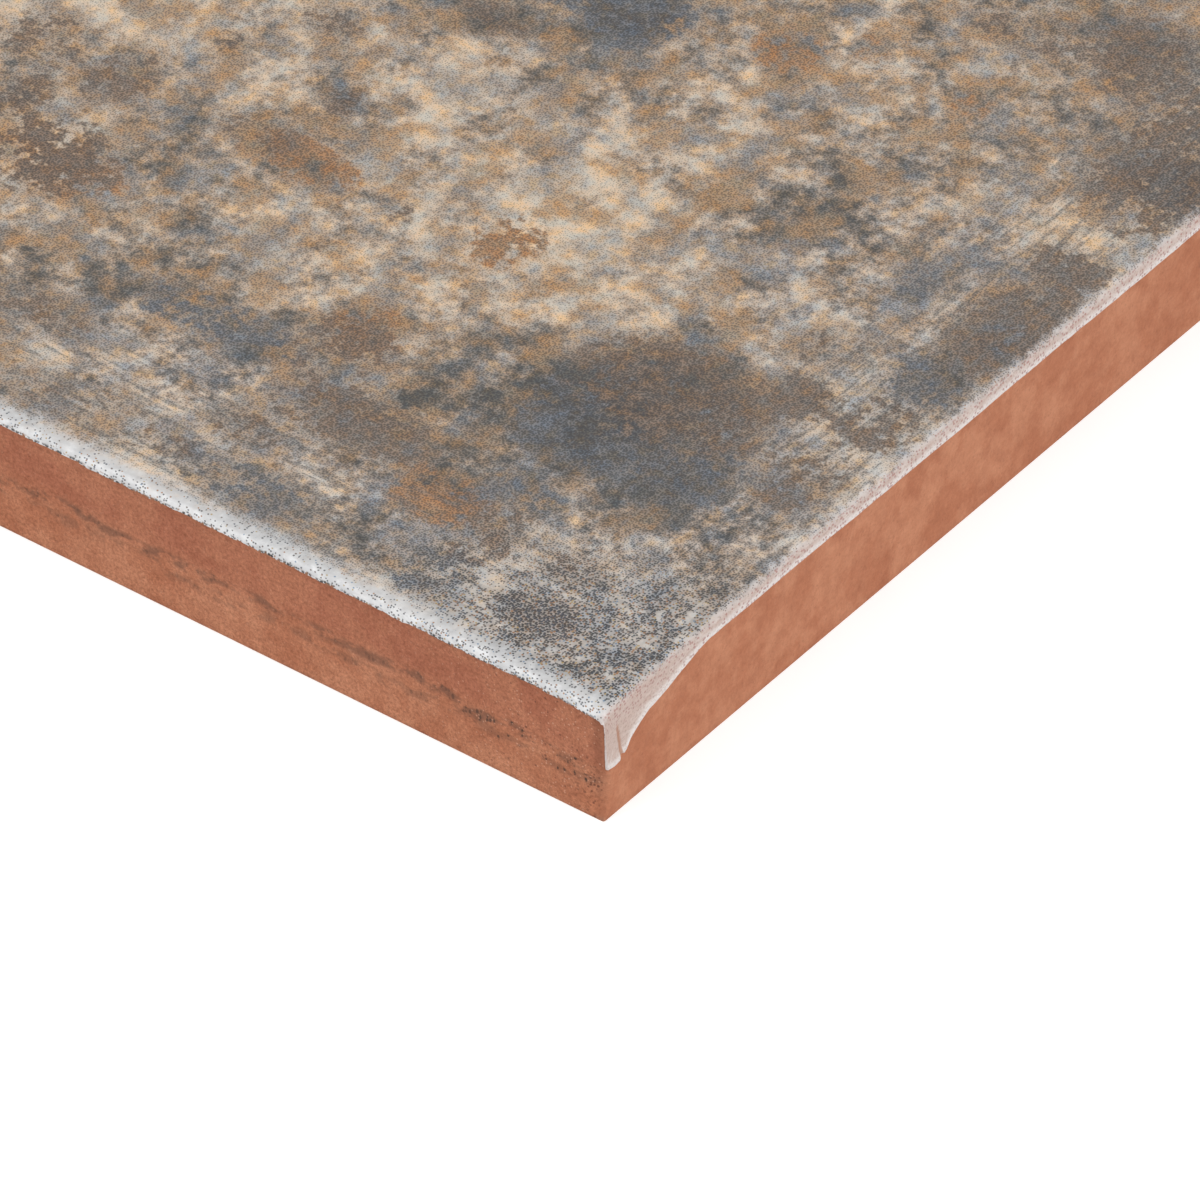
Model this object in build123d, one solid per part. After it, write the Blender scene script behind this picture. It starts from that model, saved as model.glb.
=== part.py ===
"""A ceramic subway tile: a pressed red-clay body with a coat of glaze fired onto its face.

Millimetres. The origin is the centre of the back, +X runs along the length, +Z is out of the
glazed face. The corner at +X, -Y is the one with the glaze run down its end.
"""

import os

from build123d import *

# Clay body
BODY_LENGTH = 300.0
BODY_WIDTH = 100.0
TILE_THICKNESS = 8.0  # back ribs to glazed face
CORNER_RADIUS = 0.2  # upright corners, as pressed
ARRIS_RADIUS = 0.15  # top edges of the clay, under the glaze
BACK_ARRIS = 0.07  # bottom edges

# Glaze
GLAZE_DEPTH = 0.45  # coat on the face
GLAZE_OVERHANG = 0.15  # how far the glaze stands out from the clay's sides
GLAZE_CORNER = 0.52  # the glaze pulls back to this radius at the upright corners
SHOULDER_RADIUS = 0.5  # it rounds down to the sides with this radius
SKIRT_SIDE = 0.2  # glaze below the shoulder, on the long sides
SKIRT_END = 0.6  # the same on the two ends

# The face and the clay under it fall away a little at each corner
CORNER_DROP = 0.4
CORNER_REACH = 3.2  # measured along the diagonal

# Glaze run down the end face at one corner, in two lobes; depths are below the skirt
RUN_LENGTH = 9.0  # along the end, from the corner
LOBE_WIDTH = 1.5  # first lobe, at the corner
LOBE_DEPTH = 3.4
LOBE_ROUND = 0.15  # how far its foot is rounded up at the sides
CREASE_WIDTH = 0.22  # notch in the border between the lobes
CREASE_DEPTH = 2.9
SECOND_DEPTH = 3.05  # second lobe, where it starts beside the notch
RUN_WAIST = 1.25  # its depth half way along

# Recessed cells in the back, with ribs between them, for the bedding mortar
CELLS_ALONG = 12
CELLS_ACROSS = 4
BACK_RIM = 5.0
RIB_WIDTH = 3.0
CELL_DEPTH = 0.5
CELL_DRAFT = 0.5  # how far each cell's wall leans in over its depth
CELL_RADIUS = 2.0

MARGIN = 5.0  # how far cutting tools stand clear of the tile

CLAY_TOP = TILE_THICKNESS - GLAZE_DEPTH
FACE_LENGTH = BODY_LENGTH + 2 * GLAZE_OVERHANG
FACE_WIDTH = BODY_WIDTH + 2 * GLAZE_OVERHANG


def pressed_block(length, width, corner_radius, top, top_radius):
    """An upright block on the back plane, with rounded corners and top edges."""
    block = extrude(RectangleRounded(length, width, corner_radius), top)
    block = fillet(block.faces().sort_by(Axis.Z)[-1].edges(), top_radius)
    return block - corner_cutters(length, width, top)


def corner_cutters(length, width, top):
    """Four tools that take the fall of the corners off a block of this plan and height."""
    with BuildSketch(Plane.XZ) as section:
        with BuildLine():
            fall = TangentArc((-CORNER_REACH, top), (0, top - CORNER_DROP), tangent=(1, 0))
            outer = fall @ 1 + fall % 1 * MARGIN
            Polyline(
                fall @ 1,
                outer,
                (outer.X, top + MARGIN),
                (-CORNER_REACH, top + MARGIN),
                fall @ 0,
            )
        make_face()
    cutter = extrude(section.sketch, CORNER_REACH + MARGIN, both=True)
    corners = [(1, 1, 45), (-1, 1, 135), (-1, -1, 225), (1, -1, 315)]
    return [
        Location((side_x * length / 2, side_y * width / 2, 0), (0, 0, turn)) * cutter
        for side_x, side_y, turn in corners
    ]


def back_cells():
    """The recesses between the ribs of the back, as one tool for each cell."""
    length = (BODY_LENGTH - 2 * BACK_RIM - (CELLS_ALONG - 1) * RIB_WIDTH) / CELLS_ALONG
    width = (BODY_WIDTH - 2 * BACK_RIM - (CELLS_ACROSS - 1) * RIB_WIDTH) / CELLS_ACROSS
    mouth = RectangleRounded(length, width, CELL_RADIUS)
    floor = RectangleRounded(
        length - 2 * CELL_DRAFT, width - 2 * CELL_DRAFT, CELL_RADIUS - CELL_DRAFT
    )
    cell = loft([mouth, Pos(Z=CELL_DEPTH) * floor])
    grid = GridLocations(
        length + RIB_WIDTH, width + RIB_WIDTH, CELLS_ALONG, CELLS_ACROSS
    )
    return [place * cell for place in grid]


def clay_body():
    """The pressed biscuit: softened arrises, fallen corners and a ribbed back."""
    block = pressed_block(BODY_LENGTH, BODY_WIDTH, CORNER_RADIUS, CLAY_TOP, ARRIS_RADIUS)
    block = chamfer(block.faces().sort_by(Axis.Z)[0].edges(), BACK_ARRIS)
    return block - back_cells()


def bare_below(foot):
    """The space below a lower border of the glaze, which falls at the corners with the face."""
    align = (Align.CENTER, Align.CENTER, Align.MAX)
    block = Box(FACE_LENGTH + MARGIN, FACE_WIDTH + MARGIN, foot + MARGIN, align=align)
    return Pos(Z=foot) * block - corner_cutters(FACE_LENGTH, FACE_WIDTH, foot)


def glaze_run(skirt_foot):
    """The thin glaze that ran down the end face at the +X, -Y corner, in two lobes."""
    corner = -FACE_WIDTH / 2
    side_foot = skirt_foot - LOBE_DEPTH + LOBE_ROUND
    notch = corner + LOBE_WIDTH + CREASE_WIDTH / 2
    second = (corner + LOBE_WIDTH + CREASE_WIDTH, skirt_foot - SECOND_DEPTH)
    with BuildSketch(Plane.YZ.offset(BODY_LENGTH / 2)) as outline:
        with BuildLine():
            lobe = ThreePointArc(
                (corner, side_foot),
                (corner + LOBE_WIDTH / 2, skirt_foot - LOBE_DEPTH),
                (corner + LOBE_WIDTH, side_foot),
            )
            Polyline(lobe @ 1, (notch, skirt_foot - CREASE_DEPTH), second)
            tail = ThreePointArc(
                second,
                (corner + RUN_LENGTH / 2, skirt_foot - RUN_WAIST),
                (corner + RUN_LENGTH, skirt_foot),
            )
            Polyline(
                tail @ 1,
                (corner + RUN_LENGTH, TILE_THICKNESS),
                (corner, TILE_THICKNESS),
                lobe @ 0,
            )
        make_face()
    return extrude(outline.sketch, GLAZE_OVERHANG)


def glaze(clay):
    """The glaze: a coat on the face that laps over the sides, deeper on the ends."""
    outside = pressed_block(
        FACE_LENGTH, FACE_WIDTH, GLAZE_CORNER, TILE_THICKNESS, SHOULDER_RADIUS
    )
    shoulder_foot = TILE_THICKNESS - SHOULDER_RADIUS
    skirt_foot = shoulder_foot - SKIRT_END
    end_lap = outside - bare_below(skirt_foot)
    coat = outside - bare_below(shoulder_foot - SKIRT_SIDE)
    for side in (1, -1):
        beyond = Pos(X=side * (BODY_LENGTH + MARGIN) / 2)
        coat += end_lap & beyond * Box(MARGIN, FACE_WIDTH, 2 * TILE_THICKNESS)
    coat += glaze_run(skirt_foot) & outside
    return coat - clay


def main():
    os.makedirs("parts", exist_ok=True)
    clay = clay_body()
    export_step(clay, "parts/clay_body.step")
    export_step(glaze(clay), "parts/glaze.step")


main()
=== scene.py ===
import math

import bmesh
import bpy
import numpy as np
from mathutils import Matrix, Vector
from mathutils.geometry import delaunay_2d_cdt


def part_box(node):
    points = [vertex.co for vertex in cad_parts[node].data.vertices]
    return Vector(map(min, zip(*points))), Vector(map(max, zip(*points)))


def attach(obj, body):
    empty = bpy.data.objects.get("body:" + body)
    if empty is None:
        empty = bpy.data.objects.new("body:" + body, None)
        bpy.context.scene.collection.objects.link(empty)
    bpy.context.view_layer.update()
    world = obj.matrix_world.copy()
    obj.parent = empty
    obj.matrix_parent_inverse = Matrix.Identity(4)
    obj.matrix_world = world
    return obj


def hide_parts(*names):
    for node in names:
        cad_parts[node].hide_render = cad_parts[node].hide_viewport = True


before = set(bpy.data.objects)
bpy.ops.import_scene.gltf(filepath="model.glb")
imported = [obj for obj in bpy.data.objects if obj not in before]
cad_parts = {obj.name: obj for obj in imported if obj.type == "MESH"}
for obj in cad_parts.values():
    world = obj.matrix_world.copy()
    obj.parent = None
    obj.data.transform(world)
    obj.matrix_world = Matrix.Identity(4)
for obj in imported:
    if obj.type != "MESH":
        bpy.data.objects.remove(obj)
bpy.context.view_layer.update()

# Lengths are in millimetres, but in metres for the lamps, the floor and the camera's clipping
MM = 0.001

# The tile, read from the clay and glaze parts of model.glb
clay_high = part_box("clay_body")[1]
glaze_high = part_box("glaze")[1]
HALF_LENGTH = clay_high[0] / MM
HALF_WIDTH = clay_high[1] / MM
CLAY_TOP = clay_high[2] / MM
FACE_TOP = glaze_high[2] / MM
OVERHANG = (glaze_high[0] - clay_high[0]) / MM

# Forms that the solids have too
CORNER_RADIUS = 0.2  # upright corners of the clay
ARRIS_RADIUS = 0.15  # its top edges
BACK_ARRIS = 0.07  # its bottom edges
SHOULDER_RADIUS = 0.5  # how the glaze rounds down to the sides
SKIRT_SIDE = 0.2  # glaze below the shoulder, on the long sides
SKIRT_END = 0.6  # the same on the ends
CORNER_DROP = 0.4  # how far the top falls away at each corner
CORNER_REACH = 3.2  # over this distance along the diagonal
CELLS_ALONG = 12
CELLS_ACROSS = 4
BACK_RIM = 5.0
RIB_WIDTH = 3.0
CELL_DEPTH = 0.5
CELL_DRAFT = 0.5
CELL_RADIUS = 2.0
CELL_LENGTH = (2 * HALF_LENGTH - 2 * BACK_RIM - (CELLS_ALONG - 1) * RIB_WIDTH) / CELLS_ALONG
CELL_WIDTH = (2 * HALF_WIDTH - 2 * BACK_RIM - (CELLS_ACROSS - 1) * RIB_WIDTH) / CELLS_ACROSS
PITCH_X = CELL_LENGTH + RIB_WIDTH
PITCH_Y = CELL_WIDTH + RIB_WIDTH

# Forms of the shells alone
SHARPEST_CORNER = 0.12  # least radius of a ring round the rim
SINK = 0.05  # how far the glaze's hidden inside reaches into the clay
SIDE_ROWS = 28  # rings up the clay's sides
SKIRT_ROWS = 12  # rings up the glaze's skirt
SHOULDER_ROWS = 6
FACE_RINGS = (0.55, 0.8, 1.15, 1.6, 2.3, 3.2, 4.4)  # how far in over the face
SOFT_RIM = 0.7  # width in which the materials turn from the face to the sides

# The border of the glaze run on the end face: distance from the corner, height above the back
RUN_BORDER = [
    (0.0, 3.66), (0.22, 3.6), (0.76, 3.5), (1.3, 3.58), (1.37, 3.75), (1.42, 4.0), (1.6, 3.86),
    (1.72, 3.9), (2.12, 4.52), (2.94, 5.1), (3.76, 5.5), (5.4, 5.88), (8.1, 6.74), (9.4, 6.95),
]
# The same round the upright corner: share of the turn from the long side to the end, height
RUN_TURN = [
    (0.0, 6.9), (0.42, 6.85), (0.52, 6.4), (0.58, 6.0),
    (0.67, 4.93), (0.78, 4.3), (0.9, 3.72), (1.0, 3.66),
]
# The crease between the run's two lobes, from top to foot
CREASE = ((1.04, 6.2), (1.41, 4.0))
# How far from the corner the run is whole, and where it has thinned out
RUN_WHOLE = 6.0
RUN_REACH = 9.6

# How much the clay is worn at each upright corner, and where along its height
CORNER_WEAR = {(1, -1): 0.5, (1, 1): 0.2, (-1, 1): 0.3, (-1, -1): 0.15}
WEAR_HEIGHTS = [(0.0, 0.0), (0.4, 0.5), (1.0, 1.0), (2.6, 1.0), (3.6, 0.5), (5.0, 0.15), (6.5, 0.0)]

# Relief as noises that are added up: height of the bumps, their width, seed
RAGGED_BORDER = [(0.05, 0.22, 11), (0.05, 0.6, 12)]
WANDERING_BORDER = [(0.05, 2.3, 13), (0.04, 11.0, 14)]
RUN_WAVES = [(0.03, 0.8, 15)]
FACE_WAVES = [(0.012, 7.0, 31), (0.006, 1.9, 32)]
CLAY_LUMPS = [(0.016, 0.9, 41), (0.012, 0.33, 42)]
FACE_CLEARANCE = 0.018  # keeps the waves of the face below the solid's top
SIDE_LIFT = 0.06  # how much higher the border lies on the long sides than the solid's

# The smudged line along the long sides: distance from the end, height above the back
SCORE_LINE = [(0.0, 3.2), (1.5, 3.5), (4.0, 3.5), (8.0, 3.65), (20.0, 3.75), (300.0, 3.7)]

# Blotches of the print near the run's corner, by kind: centre, half length, half width, strength
BLOTCHES = {
    "rust": [
        (132.0, -41.0, 3.4, 2.2, 0.95), (119.5, -32.0, 2.6, 2.4, 0.8), (121.0, -21.0, 2.2, 2.6, 0.7),
        (123.0, 2.5, 2.2, 2.2, 0.7), (107.0, -22.0, 4.4, 1.8, 0.9), (96.0, -30.5, 5.0, 3.0, 0.8),
        (143.4, -45.4, 1.5, 1.0, 0.9), (134.0, 5.0, 1.4, 1.8, 0.5), (126.5, 5.5, 1.2, 1.4, 0.5),
    ],
    "slate": [
        (134.8, -30.8, 4.8, 4.2, 0.95), (141.0, -30.5, 3.0, 4.5, 0.75), (137.0, -29.0, 3.0, 3.0, 0.7),
        (114.0, 0.5, 3.2, 3.4, 1.0), (147.0, -17.0, 2.5, 3.0, 0.7), (113.0, -36.0, 7.0, 1.8, 0.5),
        (109.0, -36.5, 1.6, 1.2, 0.6), (140.8, -46.0, 1.9, 1.2, 0.6), (132.8, -40.3, 1.0, 0.8, 0.8),
        (122.0, -46.6, 6.0, 2.2, 0.5), (135.5, -46.0, 2.8, 3.0, 0.6), (135.5, -38.2, 3.0, 1.8, 0.5),
        (141.5, -9.5, 2.0, 3.0, 0.4),
    ],
    "brown": [
        (136.5, -26.0, 6.5, 4.5, 0.9), (148.0, -10.0, 3.5, 5.0, 0.8), (146.5, 8.0, 5.0, 8.0, 0.8),
        (140.0, 14.0, 5.0, 4.0, 0.7), (119.5, -33.5, 3.4, 3.0, 0.5), (94.5, -22.0, 2.4, 3.6, 0.5),
        (105.8, -16.2, 1.3, 1.3, 1.0), (108.0, -5.0, 2.2, 1.3, 0.9), (142.3, -45.7, 2.8, 1.8, 0.65),
        (131.0, 11.5, 1.6, 1.2, 0.8), (98.0, -16.0, 1.4, 1.2, 0.7), (91.0, -27.0, 1.6, 2.6, 0.8),
        (136.0, -42.0, 2.0, 3.0, 0.6), (124.0, -38.5, 6.0, 2.6, 0.65), (114.5, -22.5, 1.2, 1.0, 0.7),
        (101.0, -11.0, 2.6, 1.6, 0.5), (112.0, -46.5, 10.0, 2.4, 0.3), (142.5, -22.0, 2.4, 2.0, 0.9),
        (147.2, -4.0, 2.6, 2.4, 0.8), (146.5, -27.5, 2.6, 4.0, 0.55), (141.5, -41.8, 2.6, 1.6, 0.5),
        (104.5, -41.5, 4.0, 2.0, 0.45), (120.0, -42.5, 3.4, 2.0, 0.55), (95.5, -30.0, 5.0, 4.0, 0.6),
        (89.0, -22.0, 3.0, 3.0, 0.45), (147.0, -21.5, 3.0, 2.6, 0.6), (141.0, -18.0, 3.0, 2.0, 0.4),
        (104.0, -21.5, 3.4, 2.0, 0.4), (135.0, 12.5, 4.0, 3.0, 0.35),
    ],
    "pale": [
        (119.0, -12.0, 13.0, 9.0, 0.9), (127.5, -22.0, 4.5, 5.0, 1.3), (103.0, -25.0, 9.0, 6.0, 0.5),
        (113.0, -41.5, 4.0, 2.5, 1.2), (121.0, -28.0, 5.0, 4.0, 0.6), (134.5, -15.5, 5.0, 4.0, 1.8),
        (146.5, -39.0, 3.0, 4.5, 0.7), (147.0, -38.5, 4.0, 5.0, 1.6), (119.5, 0.5, 4.5, 5.0, 1.8),
        (138.5, -4.0, 5.0, 4.0, 1.5), (147.5, -47.5, 4.0, 3.0, 0.8), (147.5, -34.0, 3.0, 12.0, 0.9),
        (140.0, -39.0, 5.0, 3.0, 0.9), (127.5, -8.0, 5.0, 4.0, 1.5), (112.0, -22.0, 5.0, 4.0, 1.7),
        (132.0, 12.0, 6.0, 4.0, 1.6), (112.0, -10.5, 5.0, 4.0, 1.9), (103.0, -22.5, 4.0, 3.0, 1.0),
    ],
    "cool": [
        (140.0, -43.0, 16.0, 7.0, 0.8), (118.0, -43.0, 16.0, 6.0, 0.7), (136.0, -32.0, 9.0, 7.0, 0.6),
        (147.0, -28.0, 6.0, 26.0, 0.8), (147.0, -46.0, 8.0, 7.0, 1.0), (141.0, -12.0, 9.0, 12.0, 0.5),
    ],
}

# The seeded blotches of the rest of the face: their number, and each kind's share of them
SEEDED_BLOTCHES = 380
BLOTCH_SHARES = {"rust": 0.3, "slate": 0.17, "brown": 0.33, "pale": 0.12, "cool": 0.08}

# Sides of the photo's frame on the face: the frame takes in where a x + b y is less than c
FRAME_SIDES = [(-0.76, 1.0, -84.7), (1.38, 1.0, 211.0), (-1.17, -1.0, -78.0)]

# Colours of the print, as the photo shows them in even light
CREAM = (0.62, 0.51, 0.39)
PALE_GREY = (0.45, 0.37, 0.295)
BEIGE = (0.305, 0.243, 0.188)
MID_GREY = (0.165, 0.137, 0.11)
DARK_GREY = (0.062, 0.058, 0.05)
OCHRE = (0.32, 0.205, 0.11)
BLUE_GREY = (0.16, 0.18, 0.20)
RUST = (0.215, 0.118, 0.056)
SLATE = (0.062, 0.066, 0.073)
UMBER = (0.092, 0.066, 0.048)
PRINT_TONES = [(0.26, DARK_GREY), (0.40, MID_GREY), (0.50, BEIGE), (0.60, PALE_GREY), (0.72, CREAM)]
STREAK_GREY = (0.13, 0.12, 0.11)

# Tints over the print: one for its cool parts, and a range from cool to warm over all of it
COOL_TINT = (0.91, 0.98, 1.1)
TINTS = [
    (0.30, (0.88, 0.98, 1.10)), (0.46, (1.0, 0.98, 0.97)),
    (0.56, (1.05, 0.97, 0.90)), (0.70, (1.16, 0.95, 0.70)),
]

# Inks of the print's dots, and of the specks along the glaze's border
INKS = [
    (0.0, (0.02, 0.02, 0.024)), (0.34, (0.03, 0.05, 0.085)), (0.50, (0.10, 0.05, 0.022)),
    (0.62, (0.13, 0.13, 0.13)), (0.72, (0.42, 0.18, 0.05)), (0.84, (0.55, 0.38, 0.11)),
    (0.92, (0.20, 0.32, 0.46)),
]
SPECK_INKS = [(0.0, (0.025, 0.022, 0.02)), (0.7, (0.28, 0.12, 0.045))]
# How dark the print is under its dots, against the print itself
SOFT_DOT_SHADE = (0.65, 0.65, 0.65)
CRISP_DOT_SHADE = (0.4, 0.4, 0.4)

# Bare glaze: white at the sides, pink where it is thin on the ends and on the run
WHITE_GLAZE = (0.79, 0.79, 0.80)
CLOUDED_GLAZE = (0.60, 0.60, 0.62)
END_GLAZE = (0.66, 0.56, 0.52)
PINK_GLAZE = (0.53, 0.39, 0.335)
PALE_PINK = (0.64, 0.53, 0.48)
BORDER_GLAZE = (0.79, 0.74, 0.72)
# Painted shade: dark red laid in the crease between the run's lobes
CREASE_SHADE = (0.40, 0.19, 0.11)
ROSY = (0.36, 0.17, 0.15)
GLAZE_GRAIN = [(0.3, (0.72, 0.66, 0.62)), (0.5, (1, 1, 1))]

# The clay: two colours each below and above the smudged line, then what lies over them
LOWER_CLAY = ((0.47, 0.18, 0.096), (0.55, 0.235, 0.132))
UPPER_CLAY = ((0.42, 0.15, 0.084), (0.485, 0.19, 0.106))
# Painted shade: a dark strip on the long sides towards each upright corner
EDGE_SHADE = (0.20, 0.07, 0.04)
RUBBED_CLAY = (0.66, 0.42, 0.30)
SMUDGE = (0.15, 0.08, 0.055)
FLECK = (0.04, 0.034, 0.03)
DARK_GRAIN = (0.13, 0.05, 0.035)
PALE_GRAIN = (0.68, 0.38, 0.26)
CORNER_SPECK = (0.09, 0.035, 0.025)
CLAY_PATCHES = [(0.3, (0.9, 0.87, 0.86)), (0.5, (1, 1, 1)), (0.7, (1.08, 1.12, 1.14))]
CLAY_GRAIN = [(0.3, (0.55, 0.50, 0.48)), (0.5, (1, 1, 1)), (0.7, (1.35, 1.4, 1.4))]

# Cells per millimetre, each with at most one dot of the print or one speck by the border
DOTS_SCALE = 6.6
SPECKS_SCALE = 4.6

# How far from the photo's corner the dots are wholly crisp, and from where on they are soft
CRISP_WITHIN = 6.0
SOFT_BEYOND = 17.0

# How much brighter than the print the ground between its dots is, at some lightnesses of the
# print, so that dots and ground average out to the print's own colour
SOFT_GROUND = [(0.03, 1.35), (0.08, 1.55), (0.17, 1.37), (0.26, 1.25), (0.40, 1.15), (0.62, 1.05)]
CRISP_GROUND = [(0.03, 1.9), (0.08, 2.8), (0.17, 1.95), (0.26, 1.48), (0.40, 1.19), (0.62, 1.0)]


def lattice_noise(x, y, cell, seed):
    """Smooth noise from -1 to 1 over the plane, with bumps about one cell wide."""
    size = 512
    table = np.random.default_rng(seed).uniform(-1.0, 1.0, (size, size))
    gx, gy = x / cell, y / cell
    ix, iy = np.floor(gx).astype(int), np.floor(gy).astype(int)
    fx, fy = gx - ix, gy - iy
    fx, fy = fx * fx * (3 - 2 * fx), fy * fy * (3 - 2 * fy)
    low = table[ix % size, iy % size] * (1 - fx) + table[(ix + 1) % size, iy % size] * fx
    above = (iy + 1) % size
    high = table[ix % size, above] * (1 - fx) + table[(ix + 1) % size, above] * fx
    return low * (1 - fy) + high * fy


def layered(x, y, layers):
    """Noises added up, each with its height, width and seed."""
    return sum(height * lattice_noise(x, y, width, seed) for height, width, seed in layers)


def smooth(low, high, value):
    """0 at low, 1 at high, and an even S between; low may be the larger."""
    t = np.clip((value - low) / (high - low), 0.0, 1.0)
    return t * t * (3 - 2 * t)


def along_points(value, points):
    """Straight runs through given points."""
    xs, ys = zip(*points)
    return np.interp(value, xs, ys)


def outward(x, y, rim=CORNER_RADIUS):
    """The plan's outward direction in a rim of this width, and no direction inside it."""
    core_x = np.clip(x, rim - HALF_LENGTH, HALF_LENGTH - rim)
    core_y = np.clip(y, rim - HALF_WIDTH, HALF_WIDTH - rim)
    dx, dy = x - core_x, y - core_y
    reach = np.maximum(np.hypot(dx, dy), 1e-9)
    inside = reach < 1e-6
    return np.where(inside, 0.0, dx / reach), np.where(inside, 0.0, dy / reach)


def corner_fall(x, y):
    """How far the top has fallen here, near one of the four corners."""
    radius = (CORNER_REACH**2 + CORNER_DROP**2) / (2 * CORNER_DROP)
    beyond = (np.abs(x) - HALF_LENGTH + np.abs(y) - HALF_WIDTH - 2 * OVERHANG) / math.sqrt(2)
    q = np.clip(beyond + CORNER_REACH, 0.0, CORNER_REACH)
    return radius - np.sqrt(radius**2 - q**2)


def glaze_foot(x, y):
    """Height of the glaze's lower border on the side of the tile, at this place of the rim."""
    nx, ny = outward(x, y)
    end = nx * nx
    skirt = SKIRT_SIDE + (SKIRT_END - SKIRT_SIDE) * end
    foot = FACE_TOP - SHOULDER_RADIUS - skirt - corner_fall(x, y) + SIDE_LIFT * (1 - end)
    smoother_ends = 1 - 0.7 * end
    foot += layered(x, y, RAGGED_BORDER) * smoother_ends
    foot += layered(x, y, WANDERING_BORDER)
    turn = np.arctan2(nx, -ny) / (math.pi / 2)
    at_corner = (turn > 1e-4) & (turn < 1 - 1e-4) & (y < 0) & (x > 0)
    on_end = (nx > 0.9999) & (x > 0)
    run = along_points(y + HALF_WIDTH, RUN_BORDER) + layered(x, y, RUN_WAVES)
    foot = np.where(on_end, np.minimum(foot, run), foot)
    return np.where(at_corner, np.minimum(foot, along_points(turn, RUN_TURN)), foot)


def run_share(x, y, z):
    """1 on the glaze run, 0 away from it."""
    nx, _ = outward(x, y)
    skirt_foot = FACE_TOP - SHOULDER_RADIUS - SKIRT_END - corner_fall(x, y)
    near_corner = smooth(RUN_REACH, RUN_WHOLE, y + HALF_WIDTH) * (x > 0) * (nx > 0.2)
    return near_corner * smooth(0.6, 0.1, z - skirt_foot)


def crease_share(x, y, z):
    """1 in the crease between the run's lobes, 0 away from it."""
    (top_y, top_z), (foot_y, foot_z) = CREASE
    t = np.clip((z - top_z) / (foot_z - top_z), 0.0, 1.0)
    apart = np.abs(y + HALF_WIDTH - (top_y + (foot_y - top_y) * t))
    return smooth(0.2, 0.03, apart) * smooth(top_z + 0.7, top_z - 0.6, z) * run_share(x, y, z)


def glaze_stand(x, y, z, above):
    """How far the glaze stands out from the clay, at a height above its lower border."""
    bead_height, bead_middle, bead_width = 0.02, 0.16, 0.1
    thinning, wave_height, groove_depth = 0.05, 0.012, 0.09
    run = run_share(x, y, z)
    lip = OVERHANG * smooth(-0.02, 0.1, above)
    bead = bead_height * (1 + run) * np.exp(-(((above - bead_middle) / bead_width) ** 2))
    sheet = thinning * run * smooth(0.25, 0.7, above)
    waves = wave_height * lattice_noise(x * 2 + y, z, 0.5, 21) * smooth(0.05, 0.3, above)
    groove = groove_depth * crease_share(x, y, z) * smooth(0.0, 0.1, above)
    return lip + bead - sheet + waves - groove


def face_height(x, y):
    """Height of the glazed face: flat but for the corners and a slight waviness."""
    return FACE_TOP - FACE_CLEARANCE - corner_fall(x, y) + layered(x, y, FACE_WAVES)


def clay_relief(x, y, z):
    """Small lumps, pits and drag marks on the sides of the pressed clay."""
    drag_height, drag_stretch = 0.010, 0.12
    round_rim = x + y * 1.7
    drag = drag_height * lattice_noise(round_rim * drag_stretch, z, 0.4, 43)
    return layered(round_rim, z, CLAY_LUMPS) + drag


def wear_corners(points):
    """Draws the clay's long sides in a little towards the upright corners."""
    reach_x, reach_y = 1.8, 2.2  # how far from the corner the wear goes
    x, y, z = points.T.copy()
    heights = along_points(z, WEAR_HEIGHTS)
    for (side_x, side_y), depth in CORNER_WEAR.items():
        near_x = np.clip(1 - (HALF_LENGTH - side_x * x) / reach_x, 0.0, 1.0) ** 2
        near_y = np.clip(1 - (HALF_WIDTH - side_y * y) / reach_y, 0.0, 1.0)
        points[:, 1] -= side_y * depth * heights * near_x * near_y


def outside_cells(x, y):
    """Distance to the nearest recess of the back, less than zero inside one."""
    half_x, half_y = CELLS_ALONG * PITCH_X / 2, CELLS_ACROSS * PITCH_Y / 2
    column = np.clip(np.floor((x + half_x) / PITCH_X), 0, CELLS_ALONG - 1)
    row = np.clip(np.floor((y + half_y) / PITCH_Y), 0, CELLS_ACROSS - 1)
    dx = np.abs(x - ((column + 0.5) * PITCH_X - half_x)) - CELL_LENGTH / 2 + CELL_RADIUS
    dy = np.abs(y - ((row + 0.5) * PITCH_Y - half_y)) - CELL_WIDTH / 2 + CELL_RADIUS
    beside = np.hypot(np.maximum(dx, 0), np.maximum(dy, 0))
    return beside + np.minimum(np.maximum(dx, dy), 0) - CELL_RADIUS


def stations():
    """Places round the rim: core points and outward directions, closest near the photo's corner."""
    finest, coarsest, growth = 0.1, 0.42, 0.0055  # steps along the sides
    turn_steps = 10  # steps round each corner
    corners = [(1, -1, -90), (1, 1, 0), (-1, 1, 90), (-1, -1, 180)]
    half_core = np.array([HALF_LENGTH - CORNER_RADIUS, HALF_WIDTH - CORNER_RADIUS])
    core, normal = [], []
    for i, (side_x, side_y, start) in enumerate(corners):
        centre = half_core * (side_x, side_y)
        for k in range(turn_steps + 1):
            angle = math.radians(start + 90 * k / turn_steps)
            core.append(centre)
            normal.append((math.cos(angle), math.sin(angle)))
        target = half_core * corners[(i + 1) % 4][:2]
        length = np.linalg.norm(target - centre)
        direction = (target - centre) / length
        places = [0.0]
        while places[-1] < length:
            here = centre + direction * places[-1]
            away = np.linalg.norm(here - half_core * (1, -1))
            places.append(places[-1] + min(coarsest, finest + growth * away))
        for place in np.array(places[1:-1]) * length / places[-1]:
            core.append(centre + direction * place)
            normal.append(normal[-1])
    return np.array(core), np.array(normal)


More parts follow.
